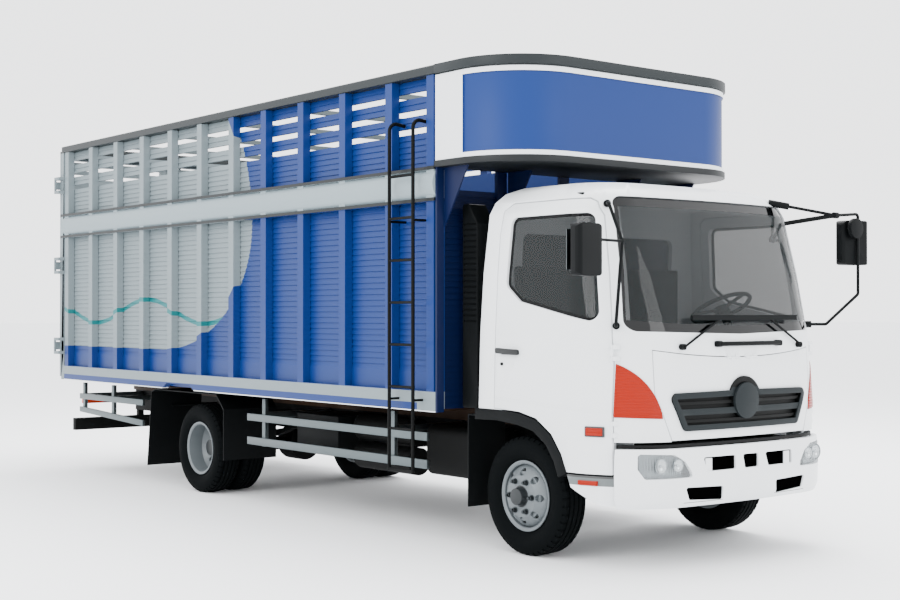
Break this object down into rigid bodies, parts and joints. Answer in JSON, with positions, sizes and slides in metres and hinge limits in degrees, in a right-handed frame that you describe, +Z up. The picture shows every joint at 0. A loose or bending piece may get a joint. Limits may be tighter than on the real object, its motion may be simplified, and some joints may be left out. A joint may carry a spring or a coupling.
{
  "type": "decorated truck",
  "caption": "Cab-over delivery truck with a tall ribbed cargo body, a painted peak over the cab, a white cab and double rear doors; the wheels roll and steer",
  "frame": {"origin": "ground point under the middle of the bounding box", "axes": "+X towards the truck's left side (its steering wheel side), +Y rearwards, +Z up"},
  "size_m": [2.901, 8.242, 3.365],
  "materials": {
    "frame_paint": "satin",
    "dark_plastic": "satin",
    "tank_metal": "satin",
    "cab_white": "gloss",
    "grille_grey": "satin",
    "window_glass": "gloss",
    "lamp_clear": "gloss",
    "lamp_amber": "gloss",
    "seat_cloth": "matte",
    "board_wood": "matte",
    "body_blue": "gloss",
    "tyre_rubber": "matte"
  },
  "bodies": {
    "root": {"chassis_frame": "frame_paint", "engine_block": "frame_paint", "prop_shaft": "frame_paint", "front_axle": "frame_paint", "rear_axle": "frame_paint", "leaf_springs": "frame_paint", "fuel_tank": "tank_metal", "battery_box": "dark_plastic", "air_tanks": "dark_plastic", "exhaust": "dark_plastic", "side_guards": "tank_metal", "under_run_bar": "frame_paint", "rear_lamps": "dark_plastic", "rear_mudguards": "dark_plastic", "cab_shell": "cab_white", "cab_floor": "dark_plastic", "cab_glass": "window_glass", "front_bumper": "cab_white", "headlamps": "lamp_clear", "turn_lamps": "lamp_amber", "cab_steps": "cab_white", "front_mudguards": "dark_plastic", "mirrors": "dark_plastic", "wipers": "dark_plastic", "dashboard": "dark_plastic", "steering_wheel": "dark_plastic", "driver_seat": "seat_cloth", "passenger_seat": "seat_cloth", "intake_duct": "dark_plastic", "cargo_floor": "board_wood", "cargo_panels_right": "body_blue", "cargo_panels_left": "body_blue", "cargo_frame_right": "body_blue", "cargo_frame_left": "body_blue", "cargo_front_wall": "body_blue", "rear_portal": "body_blue", "cab_peak": "body_blue", "peak_brackets": "tank_metal", "roof_bows": "tank_metal", "ladder": "tank_metal"},
    "knuckle_right": {"knuckle_right": "frame_paint"},
    "knuckle_left": {"knuckle_left": "frame_paint"},
    "front_wheel_right": {"front_rim_right": "tank_metal", "front_tyre_right": "tyre_rubber"},
    "front_wheel_left": {"front_rim_left": "tank_metal", "front_tyre_left": "tyre_rubber"},
    "rear_wheels_right": {"rear_rims_right": "tank_metal", "rear_tyres_right": "tyre_rubber"},
    "rear_wheels_left": {"rear_rims_left": "tank_metal", "rear_tyres_left": "tyre_rubber"},
    "cab_door_right": {"cab_door_right": "cab_white", "door_glass_right": "window_glass"},
    "cab_door_left": {"cab_door_left": "cab_white", "door_glass_left": "window_glass"},
    "cargo_door_right": {"cargo_door_right": "body_blue"},
    "cargo_door_left": {"cargo_door_left": "body_blue"},
    "front_lid": {"service_lid": "cab_white", "grille": "grille_grey"}
  },
  "joints": [
    {"name": "steer_right", "type": "hinge", "parent": "root", "child": "knuckle_right", "pos_m": [-0.8, -3.021, 0.4], "axis": [0, 0, 1], "range_deg": [-35, 35]},
    {"name": "steer_left", "type": "hinge", "parent": "root", "child": "knuckle_left", "pos_m": [0.8, -3.021, 0.4], "axis": [0, 0, 1], "range_deg": [-35, 35]},
    {"name": "front_wheel_right_spin", "type": "hinge", "parent": "knuckle_right", "child": "front_wheel_right", "pos_m": [-0.902, -3.021, 0.4], "axis": [1, 0, 0], "continuous": true},
    {"name": "front_wheel_left_spin", "type": "hinge", "parent": "knuckle_left", "child": "front_wheel_left", "pos_m": [0.902, -3.021, 0.4], "axis": [1, 0, 0], "continuous": true},
    {"name": "rear_wheels_right_spin", "type": "hinge", "parent": "root", "child": "rear_wheels_right", "pos_m": [-0.841, 1.329, 0.4], "axis": [1, 0, 0], "continuous": true},
    {"name": "rear_wheels_left_spin", "type": "hinge", "parent": "root", "child": "rear_wheels_left", "pos_m": [0.841, 1.329, 0.4], "axis": [1, 0, 0], "continuous": true},
    {"name": "cab_door_right_swing", "type": "hinge", "parent": "root", "child": "cab_door_right", "pos_m": [-0.99, -3.832, 1.135], "axis": [0, 0, 1], "range_deg": [0, 70]},
    {"name": "cab_door_left_swing", "type": "hinge", "parent": "root", "child": "cab_door_left", "pos_m": [0.99, -3.832, 1.135], "axis": [0, 0, -1], "range_deg": [0, 70]},
    {"name": "cargo_door_right_swing", "type": "hinge", "parent": "root", "child": "cargo_door_right", "pos_m": [-1.265, 4.099, 2.1], "axis": [0, 0, 1], "range_deg": [0, 260]},
    {"name": "cargo_door_left_swing", "type": "hinge", "parent": "root", "child": "cargo_door_left", "pos_m": [1.265, 4.099, 2.1], "axis": [0, 0, -1], "range_deg": [0, 260]},
    {"name": "front_lid_lift", "type": "hinge", "parent": "root", "child": "front_lid", "pos_m": [0, -4.0492, 1.336], "axis": [-1, 0, 0], "range_deg": [0, 60]}
  ],
  "couplings": [
    {"joint": "steer_left", "follows": "steer_right", "ratio": 1}
  ]
}
